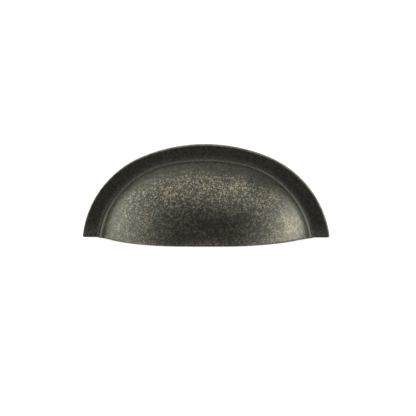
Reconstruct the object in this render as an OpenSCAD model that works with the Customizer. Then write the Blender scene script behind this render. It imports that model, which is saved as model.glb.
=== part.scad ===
// Cup pull for a drawer: one cast piece, a half dome on a flat arched flange, fixed from behind by two screws.
// Frame: X along the drawer front, Y into the drawer front, Z up. The mounting plane is y = 0, the dome reaches
// towards -Y, and the origin lies midway between the two tapped holes on the mounting plane. Millimetres.

/* [Flange] */
// Width across the two feet, before their corners are rounded
flange_w = 100; // [96:1:120]
// Height from the lower edge to the crown
flange_h = 37.6; // [35:0.2:42]
// Thickness of the flat flange
flange_t = 2.2; // [1.8:0.1:3]
// Angle from upright at which the flange's crown arc meets its haunch arcs
flange_joint = 23; // [18:1:28]
// Rounding of the flange's front edge
flange_edge_r = 0.8; // [0.3:0.1:1.2]
// Rounding of each foot's outer corner
foot_corner_r = 0.5; // [0.3:0.1:1.5]
// Depth of the arches' springing line below the lower edge
springing = 4.75; // [3:0.25:6]

/* [Cup] */
// Flat rim between a foot's outer corner and the bead
rim_at_foot = 7.6; // [6.5:0.1:8.5]
// Flat rim between the flange's crown and the bead
rim_at_crown = 6.1; // [5.5:0.1:7.5]
// Angle from upright at which the cup's crown arc meets its haunch arcs
cup_joint = 12; // [9:1:16]
// Reach of the dome's arc in front of the mounting plane, at its crest on the springing line
projection = 24; // [20:0.5:30]
// Wall of the dome
wall = 2.5; // [2:0.1:3]
// Rounding of the lip's two edges
lip_r = 1; // [0.5:0.1:1]

/* [Moulding] */
// Height of the bead's crest above the flange
bead_h = 2.2; // [1.6:0.1:2.8]
// Radius of the bead
bead_r = 0.5; // [0.4:0.05:0.7]
// Radius of the cove between the flange and the bead
cove_r = 2.1; // [1.6:0.1:2.6]
// Distance of the dome's foot inside the bead and in front of the bead's crest
dome_step = 0.35; // [0.25:0.05:0.5]
// Depth of the line between the bead's crest and the dome
line_depth = 0.15; // [0.1:0.05:0.25]

/* [Fixings] */
// Distance between the two tapped holes
fixing_centres = 64; // [57:1:66]
// Height of the tapped holes above the lower edge
fixing_z = 12.5; // [9:0.5:14]
// Diameter of the boss round each tapped hole
boss_d = 9.5; // [8:0.5:11]
// Drilled diameter of the tapped holes
tap_d = 3.3; // [2.5:0.1:4.2]
// Depth of the tapped holes
tap_depth = 6; // [4:0.5:6.5]

/* [Hidden] */
$fn = 160;

// A cut runs this far past the faces that it goes through
past = 2;
// A sweep that the middle plane trims runs this many degrees past it
past_turn = 2;
// Rounding cutters cross their faces by this share of the radius
cross_share = 0.04;
// The cove reaches below the flange's face by this share of its radius, and under the bead by this share of the bead's
cove_sink = 0.02;
cove_bite = 0.2;

// Radii and offsets are whole microns, so that arcs which share a joint meet exactly
function micron(v) = round(v * 1000) / 1000;

// Distance between an arch's crown centre and haunch centre, from its width, height and joint angle
function arch_offset(w, h, joint) =
    let (
        s = sin(joint),
        c = 1 - cos(joint),
        square_term = s * s - c * c,
        half_term = w / 2 * s - (h + springing) * c,
        free_term = w * w / 4 - (h + springing) * (h + springing) + springing * springing
    )
    micron((half_term - sqrt(half_term * half_term - square_term * free_term)) / square_term);

function haunch_r(h, joint, offset) = micron(h + springing - offset * (1 - cos(joint)));

cup_w = flange_w - 2 * rim_at_foot;
cup_h = flange_h - rim_at_crown;
flange_offset = arch_offset(flange_w, flange_h, flange_joint);
cup_offset = arch_offset(cup_w, cup_h, cup_joint);
flange_haunch_r = haunch_r(flange_h, flange_joint, flange_offset);
cup_haunch_r = haunch_r(cup_h, cup_joint, cup_offset);
cup_haunch_x = cup_offset * sin(cup_joint);

// The dome's section is one arc, from its foot to its crest over the haunch centres, so the ends are spherical
bead_top = flange_t + bead_h;
dome_run = cup_haunch_r - bead_r - dome_step;
dome_rise = projection - bead_top - dome_step;
dome_r = micron((dome_run * dome_run + dome_rise * dome_rise) / (2 * dome_rise));
dome_base = projection - dome_r;
hollow_r = dome_r - wall;

// The right half of a three-centred arch in the XY plane. Its section, of outward distance and height, is swept
// from their common joint down the haunch arc and up the crown arc, which runs past the middle plane.
module half_arch_sweep(joint, offset, radius) {
    translate([offset * sin(joint), -springing, 0])
        rotate([0, 0, 90 - joint]) {
            rotate_extrude(angle = joint - 90)
                translate([radius, 0])
                    children();
            translate([-offset, 0, 0])
                rotate_extrude(angle = joint + past_turn)
                    translate([offset + radius, 0])
                        children();
        }
}

// Flange section: flat, with its outer front edge rounded
module flange_section() {
    reach = flange_haunch_r - springing / 2;
    translate([-reach, 0])
        square([reach - flange_edge_r, flange_t]);
    translate([-reach, 0])
        square([reach, flange_t - flange_edge_r]);
    translate([-flange_edge_r, flange_t - flange_edge_r])
        circle(flange_edge_r);
}

// A disc on the dome section's centre, from the given height upwards
module dome_disc(r, from) {
    reach = cup_haunch_r - springing / 2;
    intersection() {
        translate([-cup_haunch_r, dome_base])
            circle(r);
        translate([-reach, from])
            square([reach + bead_r + cove_r, projection - from + past]);
    }
}

// Cup section: cove, bead, the line's narrow floor and dome, rooted half-way down in the flange
module cup_section() {
    root = flange_t / 2;
    bead_y = bead_top - bead_r;
    cove_x = cove_r + bead_r * (1 - cove_bite);
    inner_x = bead_r + 2 * dome_step;
    difference() {
        union() {
            dome_disc(dome_r, root);
            translate([-inner_x, root])
                square([inner_x + cove_x, bead_y - root]);
            translate([-inner_x, root])
                square([inner_x, bead_top - line_depth - root]);
            translate([0, bead_y])
                circle(bead_r);
        }
        translate([cove_x, flange_t + cove_r * (1 - cove_sink)])
            circle(cove_r);
    }
}

// Boss for one screw, ending inside the dome's wall
module boss() {
    intersection() {
        translate([fixing_centres / 2, fixing_z, 0])
            cylinder(d = boss_d, h = projection);
        translate([cup_haunch_x, -springing, dome_base])
            sphere(dome_r - wall / 2);
    }
}

module tapped_hole() {
    translate([fixing_centres / 2, fixing_z, -past])
        cylinder(d = tap_d, h = tap_depth + past);
}

// What lies outside a rounded corner, for a corner whose two faces run towards -X and +Y
module corner_waste(r) {
    inset = r * (1 - cross_share);
    difference() {
        translate([-inset, -past])
            square([inset + past, inset + past]);
        translate([-inset, inset])
            circle(r);
    }
}

// Carries a section along the right half of a dome surface's lip, which in plan is a haunch arc and a nearly
// straight middle arc. The haunch arc ends at the given distance in front of the mounting plane.
module half_lip_sweep(surface_r, lip_end) {
    lip_run = sqrt(surface_r * surface_r - springing * springing);
    joint_turn = asin(cup_haunch_x * springing / (cup_offset * cos(cup_joint)) / lip_run);
    middle_shift = micron(cup_haunch_x / sin(joint_turn));
    end_turn = acos((lip_end - dome_base) / lip_run);
    wall_r = micron(sqrt(surface_r * surface_r - pow(springing + lip_r, 2)));
    translate([cup_haunch_x, -dome_base, 0])
        rotate([0, 0, joint_turn - 90]) {
            rotate_extrude(angle = end_turn - joint_turn)
                translate([wall_r, 0])
                    children();
            translate([-middle_shift, 0, 0])
                rotate_extrude(angle = -joint_turn - past_turn)
                    translate([middle_shift + wall_r, 0])
                        children();
        }
}

module lip_rounding() {
    half_lip_sweep(dome_r, bead_top + dome_step)
        corner_waste(lip_r);
    half_lip_sweep(hollow_r, -past)
        mirror([1, 0])
            corner_waste(lip_r);
}

module foot_corner_rounding() {
    lean = foot_corner_r * (springing + foot_corner_r) / flange_haunch_r;
    rotate([90, 0, 0])
        translate([flange_w / 2 - lean, 0, -past])
            linear_extrude(flange_t + 2 * past)
                corner_waste(foot_corner_r);
}

// The space right of the middle plane and above the lower edge
module right_quarter() {
    translate([0, -2 * projection, 0])
        cube([flange_w, 4 * projection, 2 * flange_h]);
}

// The flange and the dome with its hollow and its boss, seen as it lies on its back
module lying_half() {
    difference() {
        union() {
            difference() {
                union() {
                    half_arch_sweep(flange_joint, flange_offset, flange_haunch_r)
                        flange_section();
                    half_arch_sweep(cup_joint, cup_offset, cup_haunch_r)
                        cup_section();
                }
                half_arch_sweep(cup_joint, cup_offset, cup_haunch_r)
                    dome_disc(hollow_r, -past);
            }
            boss();
        }
        tapped_hole();
    }
}

// The right half stands on the middle plane, so that it and its mirror image meet on a level face
module standing_half() {
    rotate_to_stand = [0, -90, 0];
    intersection() {
        rotate(rotate_to_stand)
            difference() {
                rotate([90, 0, 0])
                    lying_half();
                lip_rounding();
                foot_corner_rounding();
            }
        rotate(rotate_to_stand)
            right_quarter();
    }
}

module cup_pull() {
    color("#3e3c36")
        translate([0, 0, -fixing_z])
            rotate([0, 90, 0])
                for (side = [0, 1])
                    mirror([0, 0, side])
                        standing_half();
}

cup_pull();
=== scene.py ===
"""Looks of a cast cup pull: a half dome on a flat arched flange, in a dark patina rubbed back on the dome.

The casting is worked out with numpy on one grid: its closed section is carried along two three-centred arches, from
the left foot to the right foot. Lengths are millimetres until a mesh is made, with x to the right, v forward of the
mounting plane and z up from the lower edge.
"""

import logging
import math
from dataclasses import dataclass, field
from enum import Enum
from typing import Any

import bmesh
import bpy
import numpy as np
from mathutils import Matrix, Vector


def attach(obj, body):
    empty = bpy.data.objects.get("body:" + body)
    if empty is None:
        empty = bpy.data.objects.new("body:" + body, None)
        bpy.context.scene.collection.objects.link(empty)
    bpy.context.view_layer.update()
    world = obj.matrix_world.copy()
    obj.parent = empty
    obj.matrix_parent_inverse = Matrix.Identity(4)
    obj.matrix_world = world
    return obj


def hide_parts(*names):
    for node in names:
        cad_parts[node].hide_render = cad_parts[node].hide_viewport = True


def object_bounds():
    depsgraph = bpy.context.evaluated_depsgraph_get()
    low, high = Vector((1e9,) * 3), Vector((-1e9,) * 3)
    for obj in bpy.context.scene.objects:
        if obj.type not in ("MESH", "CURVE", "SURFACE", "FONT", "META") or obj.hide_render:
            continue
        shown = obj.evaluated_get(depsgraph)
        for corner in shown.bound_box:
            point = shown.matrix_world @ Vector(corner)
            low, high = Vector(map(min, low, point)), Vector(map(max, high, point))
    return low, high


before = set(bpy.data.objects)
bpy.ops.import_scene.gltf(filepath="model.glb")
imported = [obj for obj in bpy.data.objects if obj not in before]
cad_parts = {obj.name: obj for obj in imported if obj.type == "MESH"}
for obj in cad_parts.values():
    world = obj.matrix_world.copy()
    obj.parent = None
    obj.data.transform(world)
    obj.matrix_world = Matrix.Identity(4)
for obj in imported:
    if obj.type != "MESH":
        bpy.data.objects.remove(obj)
CAD_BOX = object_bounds()

LOG = logging.getLogger("cup_pull")
MM = 0.001
QUARTER_TURN = math.pi / 2
FULL_TURN = 2 * math.pi
QUAD_SIDES = 4
WHITE = (1.0, 1.0, 1.0, 1.0)
SMOOTH = {"interpolation_type": "SMOOTHSTEP"}
BODY = "root"
NODE = "cup_pull"

Point = tuple[float, float]
Surface = tuple[np.ndarray, np.ndarray, np.ndarray]


def linear(hex_colour: str) -> tuple[float, float, float, float]:
    """Turns an sRGB hex colour into linear light.

    Up to 0.04045 a channel is divided by 12.92. Above that, 0.055 is added, the sum is divided by 1.055, and the
    result is raised to the power 2.4.

    Args:
        hex_colour: Six hex digits after a hash sign.

    Returns:
        Red, green, blue and an alpha of one.
    """
    srgb = np.array([int(hex_colour[i : i + 2], 16) / 255 for i in (1, 3, 5)])
    light = np.where(srgb <= 0.04045, srgb / 12.92, ((srgb + 0.055) / 1.055) ** 2.4)
    return (*light.tolist(), 1.0)


def per_mm(size: float) -> float:
    """Scale at which a texture on Object coordinates in metres repeats about every size millimetres."""
    return 1 / (size * MM)


def smooth_step(low: np.ndarray | float, high: np.ndarray | float, value: np.ndarray) -> np.ndarray:
    """Goes from 0 at low to 1 at high along the cubic 3t^2 - 2t^3."""
    t = np.clip((value - low) / (high - low), 0, 1)
    return t * t * (3 - 2 * t)


def bell(distance: np.ndarray, spread: np.ndarray | float) -> np.ndarray:
    """Falls from 1 as e to the power of minus the square of the distance over the spread."""
    return np.exp(-((distance / spread) ** 2))


def add_node(
    tree: bpy.types.NodeTree, kind: str, settings: dict[str, Any] | None = None, **inputs: Any
) -> bpy.types.Node:
    """Adds a node, sets its properties and fills its sockets.

    Args:
        tree: Node tree that takes the node.
        kind: Blender's name of the node type, without the leading ShaderNode.
        settings: Property values by name.
        inputs: Socket values, or output sockets to link, by socket name with underscores, or by i0, i1 and so on.

    Returns:
        The new node.
    """
    node = tree.nodes.new("ShaderNode" + kind)
    for name, value in (settings or {}).items():
        setattr(node, name, value)
    for name, value in inputs.items():
        number = name[1:] if name[0] == "i" and name[1:].isdigit() else ""
        socket = node.inputs[int(number)] if number else node.inputs[name.replace("_", " ")]
        if isinstance(value, bpy.types.NodeSocket):
            tree.links.new(value, socket)
        else:
            socket.default_value = value
    return node


def grid_faces(rows: int, columns: int, close_rows: bool, close_columns: bool) -> np.ndarray:
    """Quads of a grid whose points are numbered row by row.

    A point's number is its row times the number of columns, plus its column. A quad goes from a point to the next
    column, to the next row there, and back along that row.

    Args:
        rows: Number of rows.
        columns: Number of points in a row.
        close_rows: Whether the last row joins the first.
        close_columns: Whether the last column joins the first.

    Returns:
        Four point numbers for each quad.
    """
    row = np.arange(rows if close_rows else rows - 1)[:, None]
    column = np.arange(columns if close_columns else columns - 1)[None, :]
    next_row, next_column = (row + 1) % rows, (column + 1) % columns
    corners = [row * columns + column, row * columns + next_column]
    corners += [next_row * columns + next_column, next_row * columns + column]
    return np.stack(corners, axis=-1).reshape(-1, QUAD_SIDES)


def arc(centre: Point, radius: float, start: float, end: float, count: int) -> np.ndarray:
    """Points of a circular arc: the centre plus the radius times the cosine and sine of evenly spaced angles.

    Args:
        centre: Centre, as outward distance and forward distance.
        radius: Radius.
        start: First angle in radians.
        end: Last angle in radians.
        count: Number of points.

    Returns:
        One row of outward and forward distance for each point.
    """
    angle = np.linspace(start, end, count)
    return np.column_stack((centre[0] + radius * np.cos(angle), centre[1] + radius * np.sin(angle)))


def circles_meet(first: Point, first_r: float, second: Point, second_r: float) -> Point:
    """The point where two circles cross, left of the way from the first centre to the second.

    From the first centre the point lies (r1^2 - r2^2 + d^2) / 2d along that way, and as far to its left as Pythagoras
    gives.

    Args:
        first: First centre.
        first_r: First radius.
        second: Second centre.
        second_r: Second radius.

    Returns:
        The crossing point.
    """
    gap = math.dist(first, second)
    way = ((second[0] - first[0]) / gap, (second[1] - first[1]) / gap)
    along = (first_r**2 - second_r**2 + gap**2) / (2 * gap)
    left = math.sqrt(first_r**2 - along**2)
    return first[0] + along * way[0] - left * way[1], first[1] + along * way[1] + left * way[0]


def angle_from(centre: Point, point: Point) -> float:
    """Angle in radians of a point about a centre."""
    return math.atan2(point[1] - centre[1], point[0] - centre[0])


@dataclass(frozen=True)
class ThreeCentredArch:
    """An arch line of one crown arc and two haunch arcs, which meet at a joint without a kink.

    Attributes:
        width: Span at the lower edge.
        height: Height of the crown above the lower edge.
        joint_deg: Angle from upright at which the arcs meet.
        springing: Depth of the haunch centres below the lower edge.
    """

    width: float
    height: float
    joint_deg: float
    springing: float

    @property
    def joint(self) -> float:
        """Joint angle in radians."""
        return math.radians(self.joint_deg)

    @property
    def offset(self) -> float:
        """Distance from the crown centre to a haunch centre.

        The haunch arc passes through the foot, so the haunch radius squared is the springing squared plus the square
        of half the width less the offset times the joint's sine. This is the smaller root of that quadratic equation.

        Returns:
            The distance.
        """
        sine, versine = math.sin(self.joint), 1 - math.cos(self.joint)
        rise = self.height + self.springing
        square_term = sine**2 - versine**2
        half_term = self.width / 2 * sine - rise * versine
        free_term = self.width**2 / 4 - rise**2 + self.springing**2
        return (half_term - math.sqrt(half_term**2 - square_term * free_term)) / square_term

    @property
    def haunch_r(self) -> float:
        """Radius of the haunch arcs."""
        return self.height + self.springing - self.offset * (1 - math.cos(self.joint))

    @property
    def haunch_x(self) -> float:
        """Distance of a haunch centre from the middle plane."""
        return self.offset * math.sin(self.joint)

    @property
    def crown_r(self) -> float:
        """Radius of the crown arc."""
        return self.haunch_r + self.offset

    @property
    def crown_z(self) -> float:
        """Height of the crown centre."""
        return -self.springing - self.offset * math.cos(self.joint)

    def outward(self, x: np.ndarray, z: np.ndarray) -> tuple[np.ndarray, np.ndarray, np.ndarray]:
        """Distance inside the line and the way out to it.

        In the crown arc's sector the distance is the crown radius less that from the crown centre, and elsewhere the
        haunch radius less that from the nearer haunch centre.

        Args:
            x: Places across.
            z: Heights.

        Returns:
            The distance inside, and the unit vector away from the centre, across and up.
        """
        across = np.abs(x)
        on_crown = across * math.cos(self.joint) < (z - self.crown_z) * math.sin(self.joint)
        run_x = np.where(on_crown, across, across - self.haunch_x)
        run_z = np.where(on_crown, z - self.crown_z, z + self.springing)
        run = np.hypot(run_x, run_z)
        inset = np.where(on_crown, self.crown_r, self.haunch_r) - run
        return inset, np.copysign(run_x / run, x), run_z / run

    def along(self, share: np.ndarray, inset: np.ndarray | float) -> tuple[np.ndarray, np.ndarray]:
        """Points of the line moved inwards, which keeps its centres and shortens its radii.

        The length travelled from the crown, over the radius of the arc that it has reached, is the angle turned there.

        Args:
            share: Share of the line's length from the crown to a foot, from -1 on the left to 1 on the right.
            inset: Distance that the line is moved inwards.

        Returns:
            Places across and heights.
        """
        crown, haunch = self.crown_r - inset, self.haunch_r - inset
        crown_run = crown * self.joint
        joint_turn = QUARTER_TURN - self.joint
        haunch_run = haunch * (joint_turn - np.arcsin(self.springing / haunch))
        travel = np.abs(share) * (crown_run + haunch_run)
        lean = np.minimum(travel, crown_run) / crown
        turn = joint_turn - np.maximum(travel - crown_run, 0) / haunch
        on_crown = travel < crown_run
        x = np.where(on_crown, crown * np.sin(lean), self.haunch_x + haunch * np.cos(turn))
        z = np.where(on_crown, self.crown_z + crown * np.cos(lean), haunch * np.sin(turn) - self.springing)
        return np.copysign(x, share), z


@dataclass(frozen=True)
class GridSize:
    """Numbers of rows and columns in the casting's grids, by the feature that they cover."""

    columns: int = 320
    flange_wall: int = 4
    flange_edge: int = 9
    flange_face: int = 8
    cove: int = 12
    bead: int = 14
    line: int = 9
    dome: int = 72
    outer_lip: int = 12
    lip_flat: int = 2
    inner_lip: int = 10
    back: int = 4
    lip_samples: int = 4000
    boss_sides: int = 64
    hole_sides: int = 56
    hole_rows: int = 120


@dataclass(frozen=True)
class Fade:
    """A smooth step between two places, with the least value that it rises from."""

    start: float
    end: float
    least: float = 0.0

    def up(self, place: np.ndarray) -> np.ndarray:
        """Goes from the least value at the start to 1 at the end."""
        return self.least + (1 - self.least) * smooth_step(self.start, self.end, place)

    def down(self, place: np.ndarray) -> np.ndarray:
        """One less the rise."""
        return 1 - self.up(place)


@dataclass(frozen=True)
class Bell:
    """A bell curve about a place, with its spread and its greatest value."""

    middle: float
    spread: float
    top: float = 1.0

    def at(self, place: np.ndarray) -> np.ndarray:
        """The top times a bell curve of the distance from the middle."""
        return self.top * bell(place - self.middle, self.spread)


@dataclass(frozen=True)
class Places:
    """Where the casting's points lie, as far as the finish depends on it, with one value for each point.

    Attributes:
        x: Distance right of the middle plane.
        v: Distance in front of the mounting plane.
        z: Height above the lower edge.
        inset: Distance inside the bead line.
        rim: Distance inside the flange's outline.
        edge_rise: Distance in front of the line where the flange's front edge begins to round.
        bore: Distance outside the nearer tapped hole's thread.
        past_tap: Distance in front of the tapped holes' ends.
        front: 1 on the front, 0 on the hollow and the back.
        low_fade: Heights between which the lower part ends.
        end_fade: Distances from the middle plane between which an end begins.
    """

    x: np.ndarray
    v: np.ndarray
    z: np.ndarray
    inset: np.ndarray
    rim: np.ndarray
    edge_rise: np.ndarray
    bore: np.ndarray
    past_tap: np.ndarray
    front: np.ndarray
    low_fade: Fade = Fade(4, 22)
    end_fade: Fade = Fade(12, 34)

    @property
    def low(self) -> np.ndarray:
        """1 on the lower part, 0 above it."""
        return self.low_fade.down(self.z)

    @property
    def left(self) -> np.ndarray:
        """1 at the left end, 0 elsewhere."""
        return self.end_fade.up(-self.x)

    @property
    def right(self) -> np.ndarray:
        """1 at the right end, 0 elsewhere."""
        return self.end_fade.up(self.x)


@dataclass(frozen=True)
class Varied:
    """A value of the finish, with what is added to it on the lower part, at the left end and at the right end."""

    base: float
    low: float = 0.0
    left: float = 0.0
    right: float = 0.0

    def at(self, places: Places) -> np.ndarray:
        """The base plus each addition times the share of its part."""
        return self.base + self.low * places.low + self.left * places.left + self.right * places.right


@dataclass(frozen=True)
class TumbledWearAndPaintedLight:
    """How far tumbling and hands have rubbed the patina at each point, differing a little from left to right, with
    painted shade low on the dome and at the lip's middle, and painted light on the cove, the bead's crest and the
    dome's ends.
    """

    # Film: up the cove, on the dome, on the line beside the bead, painted shade at the lip, on the flange's hem, on the
    # mounting face
    # Painted light: the cove's film starts further out and is lighter at the left end and on the lower part, and starts
    # later at the right end
    cove_film: Varied = Varied(0.35, low=0.6)
    cove_start: Varied = Varied(-2.9, left=-0.5, right=1.3)
    cove_end: Varied = Varied(-0.4, left=-0.6)
    # Painted shade: on the dome's lower part the black is hardly thinned, so it is darker there
    dome_film: Varied = Varied(0.65, low=-0.6)
    dome_fade: Fade = Fade(-0.1, 0.7)
    # The line beside the bead keeps more black, and painted light makes it lighter at the left end
    line_film: Varied = Varied(0.25, left=-0.2)
    line: Bell = Bell(0.7, 0.3)
    # Painted shade: the film is darkened about the middle of the lip, fading out towards its ends
    lip_painted_shade: Bell = Bell(0, 2, top=0.5)
    lip_painted_shade_ends: Fade = Fade(10, 30)
    hem_edge: Bell = Bell(0, 1.1, top=0.5)
    hem_foot: Bell = Bell(0, 4.5, top=0.8)
    face_fade: Fade = Fade(-0.1, 0.35)
    seat_film: float = 0.6
    seat_v: float = 0.05
    # Rubbing of the dome, with a patch of painted shade just above the middle of the lip
    rub_shift: Varied = Varied(-0.8, left=0.2, right=-0.9)
    rub_low: float = 2.0
    rub_low_fade: Fade = Fade(14, 28)
    rub_most: float = 8.0
    # Painted shade: a patch just above the middle of the lip where the rubbing is taken back
    close: Bell = Bell(-6, 14, top=5)
    painted_shade_rise: Fade = Fade(0.6, 2)
    painted_shade_fall: Fade = Fade(4.5, 7)
    # Specks: fewest at the bead and on the lower part
    speckle_inwards: Fade = Fade(0.5, 6.5, least=0.35)
    speckle_upwards: Fade = Fade(8, 20, least=0.68)
    speckle_ends: Varied = Varied(1, left=-0.16, right=-0.08)
    # Pale crest of the bead, partly wear and partly a painted highlight, shifted and brighter at the ends and wider and
    # brighter on the lower part
    crest_shift: Varied = Varied(0, left=-0.1, right=0.05)
    ridge_top: Varied = Varied(0.6, low=0.25, left=0.1, right=0.25)
    ridge_spread: Varied = Varied(0.42, low=0.13)
    # Bare metal: the flange's front edge, the lip towards its ends, the threads. The lip's bare metal is partly a
    # painted highlight, and that at the dome's two ends is a painted highlight
    edge: Bell = Bell(0, 0.28, top=0.9)
    lip: Bell = Bell(0.7, 0.8, top=0.4)
    lip_bead_fade: Fade = Fade(0.5, 3)
    lip_ends: Fade = Fade(14, 32)
    painted_highlight_right: float = 0.2
    painted_highlight_right_fade: Fade = Fade(28, 34)
    painted_highlight_left: float = 0.1
    painted_highlight_left_fade: Fade = Fade(31, 36)
    painted_highlight_bead_fade: Fade = Fade(0.8, 3)
    painted_highlight_low_fade: Fade = Fade(10, 22)
    bare_past: float = 0.3
    bare_fade: Fade = Fade(0.15, 0.45)

    def film(self, places: Places) -> np.ndarray:
        """How far the black has thinned to a film on the front.

        It grows up the cove and again on the dome, less a bell curve on the line beside the bead. Painted light widens
        it on the cove at the left end and on the lower part, and painted shade keeps it low on the dome's lower part
        and at the middle of the lip. On the flange it is a bell curve of the distance from the outline or from the
        feet's lower edge, whichever is more.

        Args:
            places: The casting's points.

        Returns:
            About 0 for close black, 1 for the thinnest film.
        """
        cove_rise = smooth_step(self.cove_start.at(places), self.cove_end.at(places), places.inset)
        film = self.cove_film.at(places) * cove_rise + self.dome_film.at(places) * self.dome_fade.up(places.inset)
        film = film - self.line_film.at(places) * self.line.at(places.inset)
        # Painted shade about the middle of the lip
        film = film * (1 - self.lip_painted_shade.at(places.z) * self.lip_painted_shade_ends.down(np.abs(places.x)))
        hem = np.maximum(places.low * self.hem_edge.at(places.rim), self.hem_foot.at(places.z))
        hem = hem * (places.inset < 0) * self.face_fade.up(places.edge_rise)
        return np.maximum(film, hem)

    def rub(self, places: Places) -> np.ndarray:
        """How far the film is rubbed back to speckled metal.

        It is the distance inside the bead line plus a shift, and more on the lower part, up to a limit. A patch of
        painted shade above the middle of the lip is then taken off.

        Args:
            places: The casting's points.

        Returns:
            A distance in millimetres.
        """
        rub = places.inset + self.rub_shift.at(places) + self.rub_low * self.rub_low_fade.down(places.z)
        close = self.close.at(places.x) * self.painted_shade_rise.up(places.z) * self.painted_shade_fall.down(places.z)
        return np.minimum(rub, self.rub_most) - close

    def speckle(self, places: Places) -> np.ndarray:
        """Share of specks against an even haze, which grows away from the bead and upwards."""
        share = self.speckle_inwards.up(places.inset) * self.speckle_upwards.up(places.z)
        return share * self.speckle_ends.at(places)

    def ridge(self, places: Places) -> np.ndarray:
        """Paleness of the bead, partly wear and partly a painted highlight, a bell curve of the distance from its
        crest.
        """
        crest = places.inset + self.crest_shift.at(places)
        return self.ridge_top.at(places) * bell(crest, self.ridge_spread.at(places))

    def wear(self, places: Places) -> np.ndarray:
        """Bare metal on the front: the most of the flange's edge, the lip, partly a painted highlight, and a painted
        highlight on the ends of the dome.

        Args:
            places: The casting's points.

        Returns:
            0 for none, 1 for bare metal.
        """
        edge = self.edge.at(places.rim) * self.face_fade.up(places.edge_rise)
        # The lip's bare metal towards its ends is partly a painted highlight
        lip = self.lip.at(places.z) * self.lip_bead_fade.up(places.inset) * self.lip_ends.up(np.abs(places.x))
        # Painted highlight at the dome's ends, stronger at the right
        painted_highlight = self.painted_highlight_right * self.painted_highlight_right_fade.up(places.x)
        painted_highlight = painted_highlight + self.painted_highlight_left * self.painted_highlight_left_fade.up(-places.x)
        painted_highlight = painted_highlight * self.painted_highlight_bead_fade.up(places.inset) * self.painted_highlight_low_fade.down(places.z)
        return np.maximum(np.maximum(edge, lip), painted_highlight)

    def marks(self, places: Places) -> dict[str, np.ndarray]:
        """All that the material reads. Behind the front, only the mounting face is thinned and the threads are bare.

        Args:
            places: The casting's points.

        Returns:
            Values for each point, by the attribute's name.
        """
        seat = self.seat_film * (places.v < self.seat_v)
        bare = (places.past_tap < self.bare_past) * self.bare_fade.down(places.bore)
        # film, rub and ridge carry painted light and shade besides the wear, and wear carries painted highlights at the
        # lip and the dome's ends
        return {
            "rub": places.front * self.rub(places),
            "film": np.maximum(places.front * self.film(places), seat),
            "speckle": places.front * self.speckle(places),
            "ridge": places.front * self.ridge(places),
            "wear": np.maximum(places.front * self.wear(places), bare),
        }


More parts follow.
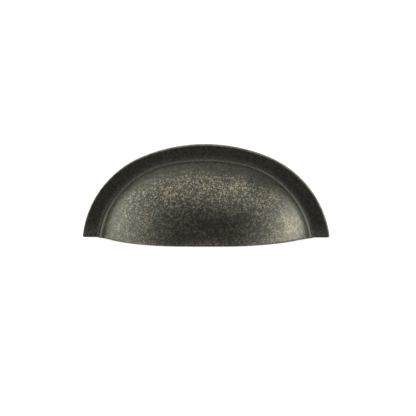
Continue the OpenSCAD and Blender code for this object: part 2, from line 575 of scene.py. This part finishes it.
@dataclass
class CupPull:
    """The casting: flange, cove, bead, a fine line beside the bead, dome, lip, hollow, and two threaded bosses.

    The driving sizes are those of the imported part, in millimetres. The cup's line is that of the bead.
    """

    flange: ThreeCentredArch = ThreeCentredArch(width=100, height=37.6, joint_deg=23, springing=4.75)
    cup: ThreeCentredArch = ThreeCentredArch(width=84.8, height=31.5, joint_deg=12, springing=4.75)
    fixing_z: float = 12.5
    fixing_centres: float = 64.0
    flange_t: float = 2.2
    flange_edge_r: float = 0.8
    foot_corner_r: float = 0.5
    projection: float = 24.0
    wall: float = 2.5
    lip_r: float = 1.0
    lip_run_out: float = 6.0
    bead_h: float = 2.2
    bead_r: float = 0.5
    cove_r: float = 2.1
    # The cove reaches below the flange's face by a share of its radius, and under the bead by a share of the bead's
    cove_sink: float = 0.02
    cove_bite: float = 0.2
    dome_step: float = 0.35
    line_r: float = 0.25
    # From this far inside the bead line, the middle of the wall parts the front from the hollow
    front_inset: float = 1.2
    boss_d: float = 9.5
    # Rings on a boss's back face and on its front end, as shares of its radius
    boss_back: tuple[float, ...] = (0, 0.3, 0.47, 0.6, 0.8, 0.94, 1)
    boss_front: tuple[float, ...] = (1, 0.75, 0.5, 0.25, 0)
    tap_d: float = 3.3
    tap_depth: float = 6.0
    # A hole's space reaches this far outside the mounting plane, and its mouth is bevelled by this much
    hole_past: float = 0.35
    mouth: float = 0.25
    thread_d: float = 4.0
    thread_pitch: float = 0.7
    thread_run: float = 5.0
    # Height and slope of the thread's triangle wave, before it is cut off at 0 and 1
    thread_crest: float = 1.5
    thread_slope: float = 3.2
    crowding: float = 0.85
    merge: float = 0.0002
    sharp_deg: float = 35.0
    grid: GridSize = GridSize()
    # Rubbed patina at each point, with painted light and shade
    tumbled: TumbledWearAndPaintedLight = TumbledWearAndPaintedLight()
    bead_top: float = field(init=False)
    dome_r: float = field(init=False)
    hollow_r: float = field(init=False)
    dome_base: float = field(init=False)
    share: np.ndarray = field(init=False)

    def __post_init__(self) -> None:
        """Works out the dome's section and the columns.

        The dome's radius is the run squared plus the rise squared, over twice the rise. The columns' shares mix a sine,
        which crowds them towards the feet, with even steps.
        """
        self.bead_top = self.flange_t + self.bead_h
        run = self.cup.haunch_r - self.bead_r - self.dome_step
        rise = self.projection - self.bead_top - self.dome_step
        self.dome_r = (run**2 + rise**2) / (2 * rise)
        self.hollow_r = self.dome_r - self.wall
        self.dome_base = self.projection - self.dome_r
        even = np.linspace(-1, 1, self.grid.columns)[None, :]
        self.share = self.crowding * np.sin(even * QUARTER_TURN) + (1 - self.crowding) * even

    def height(self, x: np.ndarray, z: np.ndarray, surface_r: float) -> np.ndarray:
        """Forward distance of the dome or its hollow.

        It is the base plus the root of the surface radius squared less the squared distance from the crest line, which
        is the haunch radius less the distance inside the bead line.

        Args:
            x: Places across.
            z: Heights.
            surface_r: Radius of the section's arc.

        Returns:
            Forward distances.
        """
        reach = self.cup.haunch_r - self.cup.outward(x, z)[0]
        return self.dome_base + np.sqrt(np.maximum(surface_r**2 - reach**2, 0))

    def moulding(self) -> np.ndarray:
        """Section of the cove, the bead and the line between the bead and the dome, as three arcs.

        The cove's circle crosses the flange's face and the bead. The line's circle touches the bead and the dome from
        outside, so its centre is as far from theirs as the radii add up to.

        Returns:
            Distance outside the bead line and forward distance, from the flange to the dome.
        """
        bead = (0.0, self.bead_top - self.bead_r)
        cove_rise = self.cove_r * (1 - self.cove_sink)
        cove = (self.cove_r + self.bead_r * (1 - self.cove_bite), self.flange_t + cove_rise)
        dome = (-self.cup.haunch_r, self.dome_base)
        line = circles_meet(dome, self.dome_r + self.line_r, bead, self.bead_r + self.line_r)
        cove_foot = (cove[0] - math.sqrt(self.cove_r**2 - cove_rise**2), self.flange_t)
        cove_top = circles_meet(bead, self.bead_r, cove, self.cove_r)
        cove_end = angle_from(cove, cove_top) % FULL_TURN - FULL_TURN
        parts = [
            arc(cove, self.cove_r, angle_from(cove, cove_foot), cove_end, self.grid.cove),
            arc(bead, self.bead_r, angle_from(bead, cove_top), angle_from(bead, line), self.grid.bead)[1:],
            arc(line, self.line_r, angle_from(line, bead), angle_from(line, dome), self.grid.line)[1:],
        ]
        return np.concatenate(parts)

    def edge_rows(self) -> Surface:
        """Flange's outer wall and rounded front edge, with the foot's corners rounded in the front view.

        A row is the flange line moved inwards by r - r cos(a) and forward by r sin(a). Below the corner radius c, each
        point moves in by c less the root of c^2 - (c - z)^2.

        Returns:
            The rows, from the mounting plane to the flange's face.
        """
        turn = np.linspace(0, QUARTER_TURN, self.grid.flange_edge)
        wall_v = np.linspace(0, self.flange_t - self.flange_edge_r, self.grid.flange_wall)[:-1]
        inset = np.concatenate((np.zeros_like(wall_v), self.flange_edge_r * (1 - np.cos(turn))))[:, None]
        edge_v = self.flange_t - self.flange_edge_r * (1 - np.sin(turn))
        v = np.concatenate((wall_v, edge_v))[:, None]
        x, z = self.flange.along(self.share, inset)
        short = np.clip(self.foot_corner_r - z, 0, self.foot_corner_r)
        pull = self.foot_corner_r - np.sqrt(self.foot_corner_r**2 - short**2)
        return x - np.copysign(pull, x), v + 0 * x, z

    def lip_line(self, surface_r: float, end_x: float) -> tuple[np.ndarray, np.ndarray]:
        """Line where the dome or its hollow crosses the lower edge, at the columns' shares of its length.

        The length is the sum of many short straight steps.

        Args:
            surface_r: Radius of the surface's section.
            end_x: Place of the line's foot.

        Returns:
            Places across and forward distances.
        """
        x = np.linspace(0, end_x, self.grid.lip_samples)
        v = self.height(x, np.zeros_like(x), surface_r)
        length = np.concatenate(([0], np.cumsum(np.hypot(np.diff(x), np.diff(v)))))
        lip_x = np.interp(np.abs(self.share) * length[-1], length, x)
        return np.copysign(lip_x, self.share), self.height(lip_x, np.zeros_like(lip_x), surface_r)

    def lip_rows(self, surface_r: float, end_x: float, side: int, count: int) -> Surface:
        """Rounding of one edge of the lip, in the upright plane across the lip line.

        There the surface is a circle of radius R whose centre lies s below the lower edge. The rounding's circle, of
        radius r, touches it from within on the outer edge and from without on the inner one, so its centre is R - r or
        R + r away, at height r. Near the feet r is 1 - (1 - t)^2 of the full radius, where t is the share of the
        run-out that is left, so it runs out to nothing.

        Args:
            surface_r: Radius of the dome or the hollow.
            end_x: Place of the lip line's foot.
            side: 1 for the outer edge, -1 for the inner one.
            count: Number of rows.

        Returns:
            The rows, from the surface to the lip's flat.
        """
        x, v = self.lip_line(surface_r, end_x)
        inset, out_x, out_z = self.cup.outward(x, np.zeros_like(x))
        reach = self.cup.haunch_r - inset
        depth = reach * out_z
        flat_r = np.sqrt(surface_r**2 - depth**2)
        way_x, way_v = reach * out_x / flat_r, (v - self.dome_base) / flat_r
        foot_run = (1 - np.abs(self.share)) * self.cup.height * QUARTER_TURN
        rounding = self.lip_r * (1 - (1 - np.clip(foot_run / self.lip_run_out, 0, 1)) ** 2)
        centre_reach = surface_r - side * rounding
        centre_out = np.sqrt(centre_reach**2 - (rounding + depth) ** 2) - flat_r
        lean = np.arcsin((rounding + depth) / centre_reach)
        start = lean if side > 0 else lean - math.pi
        step = np.linspace(0, 1, count)[:, None]
        turn = start * (1 - step) - QUARTER_TURN * step
        out = centre_out + rounding * np.cos(turn)
        return x + out * way_x, v + out * way_v, rounding * (1 + np.sin(turn))

    def dome_rows(self, first: tuple[np.ndarray, ...], last: tuple[np.ndarray, ...], surface_r: float) -> Surface:
        """Dome or hollow between two lines: straight in the front view, with the forward distance from the formula.

        Args:
            first: Line that the rows start after, across and up.
            last: Line that they end before.
            surface_r: Radius of the section's arc.

        Returns:
            The rows between the lines.
        """
        step = np.linspace(0, 1, self.grid.dome)[1:-1, None]
        x = first[0] * (1 - step) + last[0] * step
        z = first[1] * (1 - step) + last[1] * step
        return x, self.height(x, z, surface_r), z

    def rows_between(self, first: Surface, last: Surface, count: int) -> Surface:
        """Evenly spaced rows between two lines, straight across, without the lines themselves."""
        step = np.linspace(0, 1, count + 2)[1:-1, None]
        return tuple(a[-1:] * (1 - step) + b[:1] * step for a, b in zip(first, last))

    def skin(self) -> Surface:
        """The casting's closed section at every column, without the bosses.

        Returns:
            The rows, from the flange's back edge over the front, the lip and the hollow to the back face.
        """
        section = self.moulding()
        edge = self.edge_rows()
        outside, forward = section[:, :1], section[:, 1:]
        mould_x, mould_z = self.cup.along(self.share, -outside)
        mould = (mould_x, forward + 0 * mould_x, mould_z)
        face = self.rows_between(edge, mould, self.grid.flange_face)
        rim_inset = self.cup.haunch_r - math.sqrt(self.hollow_r**2 - self.dome_base**2)
        rim_x, rim_z = self.cup.along(self.share, rim_inset)
        rim = (rim_x, 0 * rim_x, rim_z)
        outer_lip = self.lip_rows(self.dome_r, mould_x[-1, -1], 1, self.grid.outer_lip)
        inner_lip = self.lip_rows(self.hollow_r, rim_x[-1, -1], -1, self.grid.inner_lip)
        inner_lip = tuple(a[::-1] for a in inner_lip)
        flat = self.rows_between(outer_lip, inner_lip, self.grid.lip_flat)
        dome = self.dome_rows((mould_x[-1:], mould_z[-1:]), (outer_lip[0][:1], outer_lip[2][:1]), self.dome_r)
        hollow = self.dome_rows((inner_lip[0][-1:], inner_lip[2][-1:]), (rim_x, rim_z), self.hollow_r)
        back = self.rows_between(rim, tuple(a[:1] for a in edge), self.grid.back)
        parts = (edge, face, mould, dome, outer_lip, flat, inner_lip, hollow, rim, back)
        return tuple(np.concatenate(rows) for rows in zip(*parts))

    def points(self, surface: Surface) -> np.ndarray:
        """Turns across, forward and up into the frame's metres, one row for each point."""
        x, v, z = (np.broadcast_to(a, surface[0].shape).ravel() for a in surface)
        return np.column_stack((x, -v, z - self.fixing_z)) * MM

    def boss(self, side: int) -> Surface:
        """One boss: rings of a round post, on the mounting plane at the back and on the middle of the wall in front.

        Args:
            side: -1 for the left boss, 1 for the right one.

        Returns:
            Rows of rings, from the middle of the back face to the middle of the front end.
        """
        turn = np.linspace(0, FULL_TURN, self.grid.boss_sides, endpoint=False)[None, :]
        ring = np.array(self.boss_back + self.boss_front)[:, None] * self.boss_d / 2
        x = side * self.fixing_centres / 2 + ring * np.cos(turn)
        z = self.fixing_z + ring * np.sin(turn)
        front = (np.arange(ring.size) >= len(self.boss_back))[:, None]
        return x, front * self.height(x, z, self.dome_r - self.wall / 2), z

    def tapped_hole(self, side: int) -> Surface:
        """The space of one tapped hole.

        The wall's radius is the drilled one plus the thread's depth times a flattened triangle wave of the forward
        distance over the pitch less the turn, and it widens at the mouth.

        Args:
            side: -1 for the left hole, 1 for the right one.

        Returns:
            Rows of rings, from outside the mounting plane to the hole's end.
        """
        turn = np.linspace(0, FULL_TURN, self.grid.hole_sides, endpoint=False)[None, :]
        v = np.linspace(-self.hole_past, self.tap_depth, self.grid.hole_rows)[:, None]
        phase = (v / self.thread_pitch - turn / FULL_TURN) % 1
        wave = np.clip(self.thread_crest - self.thread_slope * np.abs(phase - 0.5), 0, 1)
        fade = 1 - smooth_step(self.thread_run - self.thread_pitch, self.thread_run, v)
        depth = (self.thread_d - self.tap_d) / 2
        radius = self.tap_d / 2 + depth * wave * fade
        radius = np.maximum(radius, self.thread_d / 2 + self.mouth - np.maximum(v, 0))
        ring = np.concatenate((0 * turn, radius, 0 * turn))
        v = np.concatenate((v[:1], v, v[-1:]))
        x = side * self.fixing_centres / 2 + ring * np.cos(turn)
        return x, v + 0 * x, self.fixing_z + ring * np.sin(turn)

    def solid(self, name: str, surface: Surface, revolved: bool) -> bpy.types.Object:
        """Makes a closed mesh object of a grid.

        Args:
            name: Name of the object.
            surface: Rows of points.
            revolved: Whether the columns close up and the end rows are points. Otherwise the rows close up and the
                end columns are filled.

        Returns:
            The object, with its points merged and its faces outwards.
        """
        rows, columns = surface[0].shape
        faces = grid_faces(rows, columns, not revolved, revolved).tolist()
        if not revolved:
            first_column = np.arange(rows) * columns
            faces += [first_column.tolist(), (first_column + columns - 1).tolist()]
        mesh = bpy.data.meshes.new(name)
        mesh.from_pydata(self.points(surface).tolist(), [], faces)
        self.clean(mesh)
        thing = bpy.data.objects.new(name, mesh)
        bpy.context.scene.collection.objects.link(thing)
        return thing

    def clean(self, mesh: bpy.types.Mesh) -> None:
        """Merges points that coincide, takes out faces without area, cuts up many-sided faces and turns all outwards.

        Args:
            mesh: A closed mesh, which is changed.
        """
        edit = bmesh.new()
        edit.from_mesh(mesh)
        bmesh.ops.remove_doubles(edit, verts=edit.verts, dist=self.merge * MM)
        bmesh.ops.dissolve_degenerate(edit, edges=edit.edges, dist=self.merge * MM)
        bmesh.ops.triangulate(edit, faces=[face for face in edit.faces if len(face.verts) > QUAD_SIDES])
        bmesh.ops.recalc_face_normals(edit, faces=edit.faces)
        edit.to_mesh(mesh)
        edit.free()

    def build(self) -> bpy.types.Object:
        """Joins the bosses to the skin, cuts the tapped holes and marks the finish.

        Returns:
            The casting, riding on the frame.
        """
        casting = self.solid("cup_pull_casting", self.skin(), revolved=False)
        tools = [(self.solid("boss", self.boss(side), True), "UNION") for side in (-1, 1)]
        tools += [(self.solid("tapped_hole", self.tapped_hole(side), True), "DIFFERENCE") for side in (-1, 1)]
        for tool, operation in tools:
            step = casting.modifiers.new(tool.name, "BOOLEAN")
            step.object = tool
            step.operation = operation
            step.solver = "MANIFOLD"
        depsgraph = bpy.context.evaluated_depsgraph_get()
        joined = bpy.data.meshes.new_from_object(casting.evaluated_get(depsgraph))
        casting.modifiers.clear()
        casting.data = joined
        for tool, _ in tools:
            bpy.data.objects.remove(tool)
        self.clean(joined)
        joined.shade_smooth()
        joined.set_sharp_from_angle(angle=math.radians(self.sharp_deg))
        self.mark(joined)
        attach(casting, BODY)
        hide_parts(NODE)
        return casting

    def places(self, mesh: bpy.types.Mesh) -> Places:
        """Reads where the casting's points lie.

        The front is what lies before the middle of the dome's wall, and outside the dome before half the flange's
        thickness.

        Args:
            mesh: The finished casting.

        Returns:
            The places of its points.
        """
        metres = np.empty(len(mesh.vertices) * 3)
        mesh.vertices.foreach_get("co", metres)
        x, v, z = (metres.reshape(-1, 3) / MM).T * np.array([[1], [-1], [1]])
        z = z + self.fixing_z
        inset = self.cup.outward(x, z)[0]
        middle = self.height(x, z, self.dome_r - self.wall / 2)
        return Places(
            x=x,
            v=v,
            z=z,
            inset=inset,
            rim=self.flange.outward(x, z)[0],
            edge_rise=v - self.flange_t + self.flange_edge_r,
            bore=np.hypot(np.abs(x) - self.fixing_centres / 2, z - self.fixing_z) - self.thread_d / 2,
            past_tap=v - self.tap_depth,
            front=np.where(inset > self.front_inset, v > middle, v > self.flange_t / 2).astype(float),
        )

    def mark(self, mesh: bpy.types.Mesh) -> None:
        """Stores the wear of the finish at each point, with painted light and shade, as attributes that the material
        reads.

        Args:
            mesh: The finished casting.
        """
        for name, values in self.tumbled.marks(self.places(mesh)).items():
            attribute = mesh.attributes.new(name, "FLOAT", "POINT")
            attribute.data.foreach_set("value", values.astype(np.float32))

    def dress(self, casting: bpy.types.Object, finish: "PewterPatina") -> None:
        """Gives the casting its finish."""
        casting.data.materials.clear()
        casting.data.materials.append(finish.material())


@dataclass(frozen=True)
class Grain:
    """A noise pattern: the size of its spots in millimetres, and how many finer layers it has."""

    size: float
    detail: float


@dataclass(frozen=True)
class PewterPatina:
    """Antique pewter: a zinc die casting, blackened, tumbled until grey metal shows, and lacquered matt.

    To the eye the flange is a close black-brown, and the dome a warm grey with light specks of bare metal, smoother
    and bluer beside the bead, with thin bright lines on the worn edges. The bead's pale crest is partly, and the bright
    ends of the dome wholly, a painted highlight, and the dark lower dome is painted shade.
    """

    oxide: str = "#2b2a25"
    oxide_light: str = "#45433c"
    film: str = "#36352e"
    film_light: str = "#504f48"
    haze: str = "#63635a"
    ground: str = "#454741"
    ground_warm: str = "#484640"
    metal: str = "#9b9884"
    metal_warm: str = "#9f967e"
    # Pale crest of the bead, partly wear and partly a painted highlight
    ridge: str = "#7f7f74"
    # Bare metal of worn edges and threads, also used for the painted highlights at the lip and the dome's ends
    worn: str = "#9c9583"
    # Real tumbling marks are about a tenth of a millimetre, too fine to show. Specks, cells and pits are drawn three to
    # five times as coarse.
    speck: Grain = Grain(0.34, 2.0)
    cluster: Grain = Grain(1.6, 2.0)
    patch: Grain = Grain(9.0, 3.0)
    pit: Grain = Grain(0.5, 1.0)
    cell_mm: float = 0.42
    noise_roughness: float = 0.65
    # The grain is the specks' noise plus these shares of the cells, clusters and patches
    cell_share: float = 0.8
    cluster_share: float = 0.7
    patch_share: float = 0.35
    specks_from: float = 1.365
    specks_to: float = 1.845
    mottle_from: float = 1.025
    mottle_to: float = 1.825
    hue_from: float = 0.35
    hue_to: float = 0.65
    # The border of the rubbed dome wanders by this many millimetres with the patches
    drift_mm: float = 0.8
    drift_from: float = 0.3
    drift_to: float = 0.7
    rubbed_from: float = 0.8
    rubbed_to: float = 6.5
    # Worn edges are broken by the clusters, and the bead's crest by the mottle
    broken_from: float = 0.35
    broken_to: float = 0.6
    broken_least: float = 0.4
    crest_least: float = 0.6
    crest_most: float = 1.2
    black_roughness: float = 0.5
    metal_roughness: float = 0.36
    pit_strength: float = 0.8
    pit_depth_mm: float = 0.06
    # The lacquer is matt, so the black hardly shines and the metal doesn't flare at grazing angles
    specular_level: float = 0.1
    grazing_tint: tuple[float, float, float, float] = (0.5, 0.5, 0.5, 1)

    def material(self) -> bpy.types.Material:
        """Builds the node tree.

        Returns:
            The material.
        """
        made = bpy.data.materials.new("antique_pewter_patina_with_painted_light")
        made.use_nodes = True
        tree = made.node_tree
        tree.nodes.clear()
        blend = {"data_type": "RGBA"}
        times, times_add = {"operation": "MULTIPLY"}, {"operation": "MULTIPLY_ADD"}
        most = {"operation": "MAXIMUM"}
        place = add_node(tree, "TexCoord").outputs["Object"]
        # The marks, which carry painted light and shade as well as wear
        rub, film, speckle, ridge, wear = (
            add_node(tree, "Attribute", {"attribute_name": name}).outputs["Fac"]
            for name in ("rub", "film", "speckle", "ridge", "wear")
        )
        cells = add_node(tree, "TexVoronoi", Vector=place, Scale=per_mm(self.cell_mm)).outputs["Color"]
        noise = {"Vector": place, "Roughness": self.noise_roughness}
        speck, cluster, patch, pits = (
            add_node(tree, "TexNoise", Scale=per_mm(spots.size), Detail=spots.detail, **noise).outputs["Fac"]
            for spots in (self.speck, self.cluster, self.patch, self.pit)
        )
        # Where the dome is rubbed, less in the patch of painted shade above the lip, and the grain of its specks
        drift = self.drift_mm
        wander = add_node(tree, "MapRange", Value=patch, i1=self.drift_from, i2=self.drift_to, i3=-drift, i4=drift)
        border = add_node(tree, "Math", {"operation": "ADD"}, i0=rub, i1=wander.outputs[0]).outputs[0]
        rubbed = add_node(tree, "MapRange", SMOOTH, Value=border, i1=self.rubbed_from, i2=self.rubbed_to)
        grain = speck
        for part, share in ((cells, self.cell_share), (cluster, self.cluster_share), (patch, self.patch_share)):
            grain = add_node(tree, "Math", times_add, i0=part, i1=share, i2=grain).outputs[0]
        specks = add_node(tree, "MapRange", SMOOTH, Value=grain, i1=self.specks_from, i2=self.specks_to)
        mottle = add_node(tree, "MapRange", SMOOTH, Value=grain, i1=self.mottle_from, i2=self.mottle_to)
        # Colours, from the close black over the film to the speckled metal
        black = add_node(tree, "Mix", blend, i0=mottle.outputs[0], i6=linear(self.oxide), i7=linear(self.oxide_light))
        hue = add_node(tree, "MapRange", SMOOTH, Value=patch, i1=self.hue_from, i2=self.hue_to).outputs[0]
        dark = add_node(tree, "Mix", blend, i0=hue, i6=linear(self.ground), i7=linear(self.ground_warm))
        light = add_node(tree, "Mix", blend, i0=hue, i6=linear(self.metal), i7=linear(self.metal_warm))
        bright = add_node(tree, "Mix", blend, i0=specks.outputs[0], i6=dark.outputs[2], i7=light.outputs[2])
        speckled = add_node(tree, "Mix", blend, i0=speckle, i6=linear(self.haze), i7=bright.outputs[2])
        close = add_node(tree, "Mix", blend, i0=mottle.outputs[0], i6=linear(self.film), i7=linear(self.film_light))
        thin = add_node(tree, "Mix", blend, i0=rubbed.outputs[0], i6=close.outputs[2], i7=speckled.outputs[2])
        dome = add_node(tree, "Mix", blend, i0=film, i6=black.outputs[2], i7=thin.outputs[2])
        # The bead's pale crest, partly a painted highlight, and the worn edges, with painted highlights at the lip and
        # the dome's ends
        least = self.broken_least
        broken = add_node(tree, "MapRange", SMOOTH, Value=cluster, i1=self.broken_from, i2=self.broken_to, i3=least)
        fine = add_node(tree, "MapRange", Value=mottle.outputs[0], i3=self.crest_least, i4=self.crest_most)
        crest = add_node(tree, "Math", times, i0=ridge, i1=fine.outputs[0])
        worn = add_node(tree, "Math", times, i0=wear, i1=broken.outputs[0])
        lined = add_node(tree, "Mix", blend, i0=crest.outputs[0], i6=dome.outputs[2], i7=linear(self.ridge))
        colour = add_node(tree, "Mix", blend, i0=worn.outputs[0], i6=lined.outputs[2], i7=linear(self.worn))
        metallic = add_node(tree, "Math", most, i0=film, i1=worn.outputs[0]).outputs[0]
        rough = add_node(tree, "MapRange", Value=metallic, i3=self.black_roughness, i4=self.metal_roughness)
        bump = add_node(tree, "Bump", Strength=self.pit_strength, Distance=self.pit_depth_mm * MM, Height=pits)
        shader = add_node(
            tree,
            "BsdfPrincipled",
            Base_Color=colour.outputs[2],
            Metallic=metallic,
            Roughness=rough.outputs[0],
            Specular_IOR_Level=self.specular_level,
            Specular_Tint=self.grazing_tint,
            Normal=bump.outputs[0],
        )
        add_node(tree, "OutputMaterial", Surface=shader.outputs[0])
        return made


@dataclass(frozen=True)
class SoftLight:
    """A soft patch of the light tent: full within one angle of its axis and nothing beyond another.

    Attributes:
        axis: Direction towards the patch.
        full_deg: Angle up to which it has its full brightness.
        end_deg: Angle at which it ends.
        brightness: Brightness, where 1 is white.
        stretch: Factor on each direction before the angle is taken, below 1 where the patch is drawn out.
    """

    axis: tuple[float, float, float]
    full_deg: float
    end_deg: float
    brightness: float
    stretch: tuple[float, float, float] = (1, 1, 1)


class Tent(Enum):
    """The light tent's soft patches. Its side towards the camera stays open and dark."""

    OVERHEAD = SoftLight((0.14, -0.395, 0.908), full_deg=2, end_deg=22.6, brightness=1.25, stretch=(0.48, 1, 1))
    LEFT = SoftLight((-0.703, 0.706, -0.087), full_deg=41, end_deg=138, brightness=2.2, stretch=(0.6, 1, 1))
    RIGHT = SoftLight((0.97, 0.04, -0.23), full_deg=2, end_deg=90, brightness=2.75, stretch=(0.6, 1, 1))
    RIGHT_PANEL = SoftLight((0.94, 0.33, 0.0), full_deg=10, end_deg=42, brightness=1.1)


@dataclass
class Studio:
    """Plain pale floor that sweeps up into a backdrop, a light tent, and the camera at the photograph's angle.

    The floor's height is in the frame's metres, and other lengths are millimetres. The camera's distance and aim are
    taken from the middle of the lower edge, on the mounting plane.
    """

    floor_z: float
    azimuth_deg: float = 4.38
    elevation_deg: float = 10.3
    roll_deg: float = -0.65
    distance: float = 700.0
    lens: float = 149.7
    sensor: float = 36.0
    clip: tuple[float, float] = (10.0, 20000.0)
    aim: tuple[float, float, float] = (1.05, 0.0, 11.6)
    half_width: float = 1500.0
    front: float = -6000.0
    sweep_start: float = 500.0
    sweep_r: float = 400.0
    sweep_points: int = 24
    backdrop_h: float = 1200.0
    # The glow is what the paper adds for the camera and in reflections, so that it comes out white
    paper_grey: str = "#9c9c9a"
    paper_glow: float = 0.77
    room_light: float = 0.045

    def backdrop(self) -> bpy.types.Object:
        """Floor, sweep and backdrop: a profile of a line, a quarter arc and a line, carried across.

        Returns:
            The floor.
        """
        turn = np.linspace(0, QUARTER_TURN, self.sweep_points)
        sweep_y = self.sweep_start + self.sweep_r * np.sin(turn)
        sweep_z = self.sweep_r * (1 - np.cos(turn))
        x = np.array([[-self.half_width], [self.half_width]])
        y = np.concatenate(([self.front], sweep_y, [self.sweep_start + self.sweep_r]))
        z = np.concatenate(([0], sweep_z, [self.backdrop_h])) + self.floor_z / MM
        places = np.stack(np.broadcast_arrays(x, y[None, :], z[None, :]), axis=-1).reshape(-1, 3)
        mesh = bpy.data.meshes.new("studio_floor")
        mesh.from_pydata((places * MM).tolist(), [], grid_faces(2, len(y), False, False).tolist())
        mesh.shade_smooth()
        mesh.materials.append(self.paper())
        floor = bpy.data.objects.new("studio_floor", mesh)
        bpy.context.scene.collection.objects.link(floor)
        return floor

    def paper(self) -> bpy.types.Material:
        """Matt white backdrop paper, which stays white to the camera and in reflections and keeps a faint shadow.

        Returns:
            The material.
        """
        made = bpy.data.materials.new("matt_backdrop_paper")
        made.use_nodes = True
        tree = made.node_tree
        tree.nodes.clear()
        most = {"operation": "MAXIMUM"}
        path = add_node(tree, "LightPath").outputs
        seen = add_node(tree, "Math", most, i0=path["Is Camera Ray"], i1=path["Is Glossy Ray"])
        seen = add_node(tree, "Math", most, i0=seen.outputs[0], i1=path["Is Transmission Ray"])
        strength = add_node(tree, "Math", {"operation": "MULTIPLY"}, i0=seen.outputs[0], i1=self.paper_glow)
        glow = add_node(tree, "Emission", Color=WHITE, Strength=strength.outputs[0])
        matt = add_node(tree, "BsdfDiffuse", Color=linear(self.paper_grey))
        both = add_node(tree, "AddShader", i0=matt.outputs[0], i1=glow.outputs[0])
        add_node(tree, "OutputMaterial", Surface=both.outputs[0])
        return made

    def light(self) -> None:
        """Lights the tent: the world's brightness is the sum of its soft patches over a dim room.

        A patch's brightness is a smooth step of the cosine of the angle between the direction and the patch's axis.
        """
        world = bpy.data.worlds.new("light_tent")
        world.use_nodes = True
        tree = world.node_tree
        tree.nodes.clear()
        way = add_node(tree, "TexCoord").outputs["Generated"]
        total: Any = self.room_light
        for patch in Tent:
            soft = patch.value
            drawn = add_node(tree, "VectorMath", {"operation": "MULTIPLY"}, i0=way, i1=soft.stretch)
            unit = add_node(tree, "VectorMath", {"operation": "NORMALIZE"}, i0=drawn.outputs[0])
            axis = Vector(soft.axis).normalized()
            cosine = add_node(tree, "VectorMath", {"operation": "DOT_PRODUCT"}, i0=unit.outputs[0], i1=axis)
            level = add_node(
                tree,
                "MapRange",
                SMOOTH,
                Value=cosine.outputs["Value"],
                i1=math.cos(math.radians(soft.end_deg)),
                i2=math.cos(math.radians(soft.full_deg)),
                i4=soft.brightness,
            )
            total = add_node(tree, "Math", {"operation": "ADD"}, i0=level.outputs[0], i1=total).outputs[0]
        sky = add_node(tree, "Background", Color=WHITE, Strength=total)
        add_node(tree, "OutputWorld", Surface=sky.outputs[0])
        bpy.context.scene.world = world

    def camera(self) -> None:
        """Sets the camera up at the photograph's angle, turned a little about its own axis."""
        azimuth, elevation = math.radians(self.azimuth_deg), math.radians(self.elevation_deg)
        flat = math.cos(elevation)
        back = Vector((math.sin(azimuth) * flat, -math.cos(azimuth) * flat, math.sin(elevation)))
        lower_edge = Vector((0, 0, self.floor_z))
        place = lower_edge + back * self.distance * MM
        aim = lower_edge + Vector(self.aim) * MM
        data = bpy.data.cameras.new("camera")
        data.lens, data.sensor_width = self.lens, self.sensor
        data.clip_start, data.clip_end = (distance * MM for distance in self.clip)
        camera = bpy.data.objects.new("camera", data)
        turn = (aim - place).to_track_quat("-Z", "Y").to_matrix()
        roll = Matrix.Rotation(math.radians(self.roll_deg), 3, "Z")
        camera.matrix_world = Matrix.Translation(place) @ (turn @ roll).to_4x4()
        bpy.context.scene.collection.objects.link(camera)
        bpy.context.scene.camera = camera


def main() -> None:
    """Builds the studio and the casting."""
    logging.basicConfig(level=logging.INFO, format="%(name)s: %(message)s")
    bpy.context.scene.view_settings.view_transform = "Standard"
    studio = Studio(floor_z=CAD_BOX[0].z)
    studio.camera()
    studio.light()
    floor = studio.backdrop()
    pull = CupPull()
    casting = pull.build()
    pull.dress(casting, PewterPatina())
    for thing in (floor, casting):
        LOG.info("%s: %d points, %d faces", thing.name, len(thing.data.vertices), len(thing.data.polygons))


if __name__ == "__main__":
    main()
